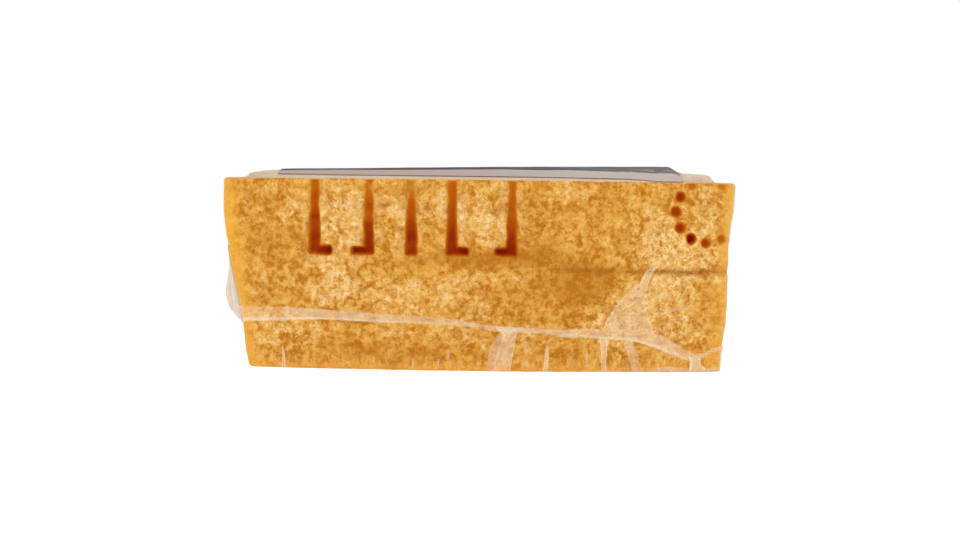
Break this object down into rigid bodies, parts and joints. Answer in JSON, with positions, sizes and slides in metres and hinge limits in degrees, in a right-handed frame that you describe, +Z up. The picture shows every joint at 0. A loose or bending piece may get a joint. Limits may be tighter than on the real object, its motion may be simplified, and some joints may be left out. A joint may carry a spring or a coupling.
{
  "type": "parmesan chunk",
  "caption": "Wedge of hard grating cheese with its stamped rind, tightly wrapped in clear film with a dark label on the upper face.",
  "frame": {"origin": "centre of the piece's box, on the lower cut face that it rests on", "axes": "+Z up, -Y out of the rind face, +Y towards the blunt tip, +X to the right when looking at the rind"},
  "size_m": [0.1383, 0.175, 0.0569],
  "materials": {
    "cheese": "amber natural rind with pale flecks, pale straw and granular on the cut faces",
    "film": "clear thin wrapping film, milky where it is folded and welded",
    "label": "dark printed label stuck on the film, with a pale front border"
  },
  "bodies": {
    "root": {"cheese": "cheese", "film": "film", "label": "label"}
  },
  "joints": []
}
